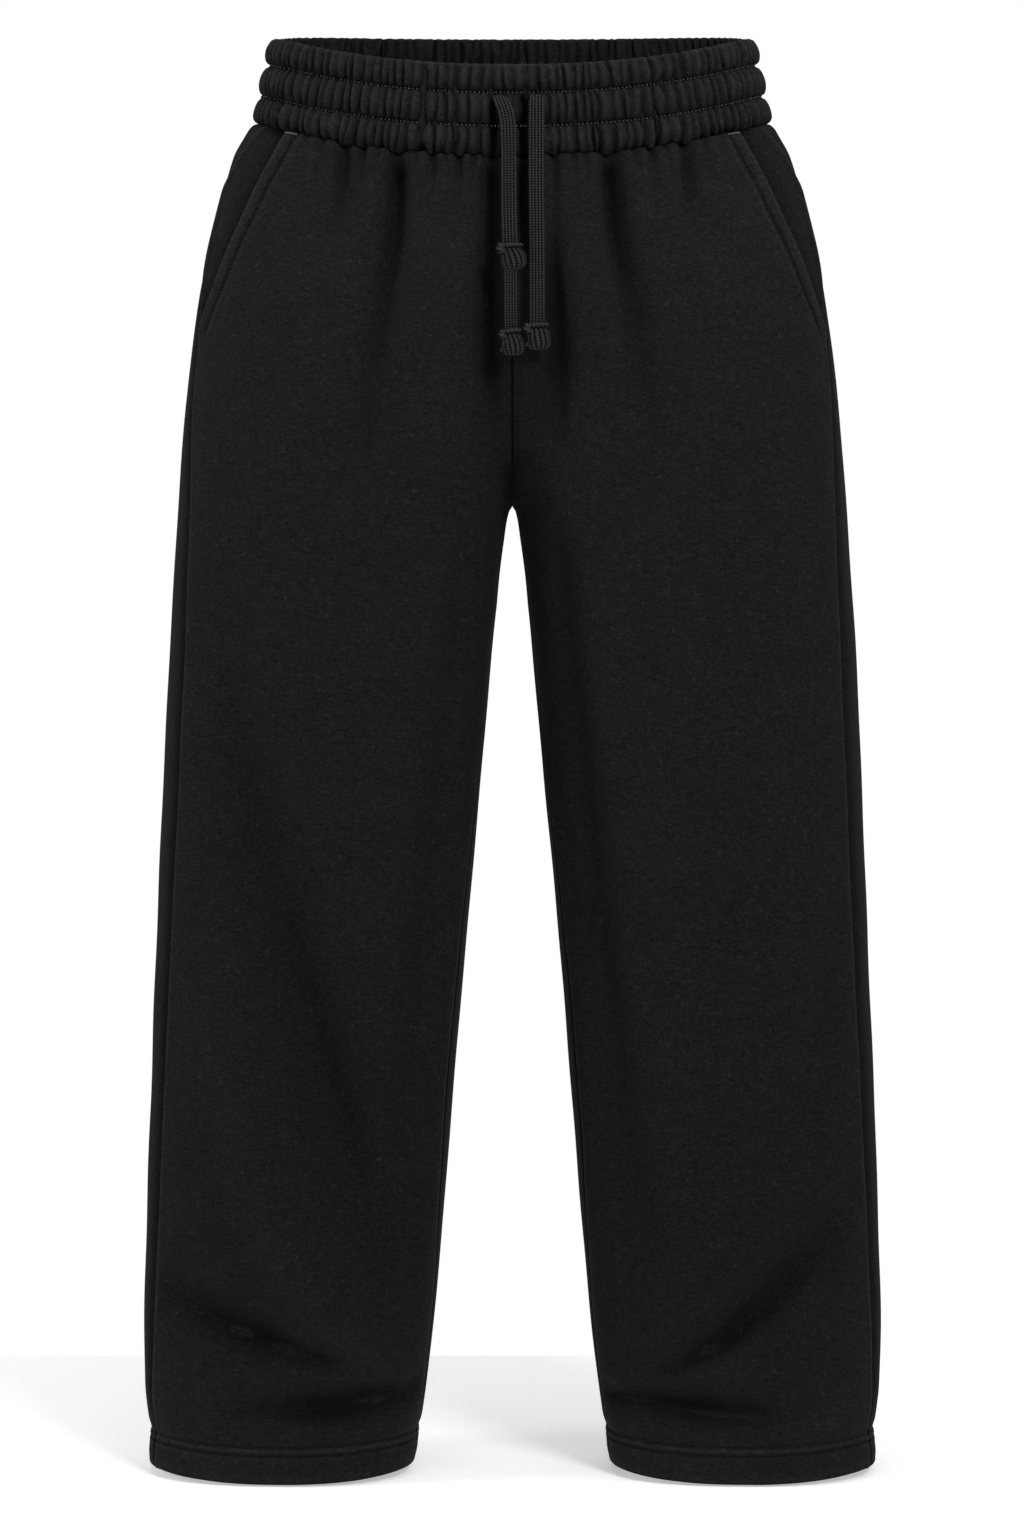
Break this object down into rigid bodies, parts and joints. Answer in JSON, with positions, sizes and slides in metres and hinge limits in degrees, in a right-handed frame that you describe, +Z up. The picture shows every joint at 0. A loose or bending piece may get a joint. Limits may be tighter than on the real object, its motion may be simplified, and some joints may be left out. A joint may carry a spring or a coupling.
{
  "type": "sweatpants",
  "caption": "Straight-leg fleece sweatpants in worn, hollow form, with a gathered elastic waistband, slanted side pockets and a knotted flat drawcord.",
  "frame": {"origin": "centre of the waist opening, half way up the waistband, where the wearer's waist carries the garment", "axes": "+Z up, -Y towards the front, +X to the wearer's left"},
  "size_m": [0.5352, 0.2386, 1.0594],
  "materials": {
    "body_fleece": "brushed black fleece",
    "waistband_fleece": "gathered black fleece",
    "drawcord": "flat knit charcoal cord"
  },
  "bodies": {
    "root": {"waistband": "waistband_fleece", "front_left": "body_fleece", "front_right": "body_fleece", "back_left": "body_fleece", "back_right": "body_fleece", "pocket_facing_left": "body_fleece", "pocket_facing_right": "body_fleece", "drawcord_left": "drawcord", "drawcord_right_upper": "drawcord", "drawcord_right_lower": "drawcord", "knot_left_end": "drawcord", "knot_right_middle": "drawcord", "knot_right_end": "drawcord"}
  },
  "joints": []
}
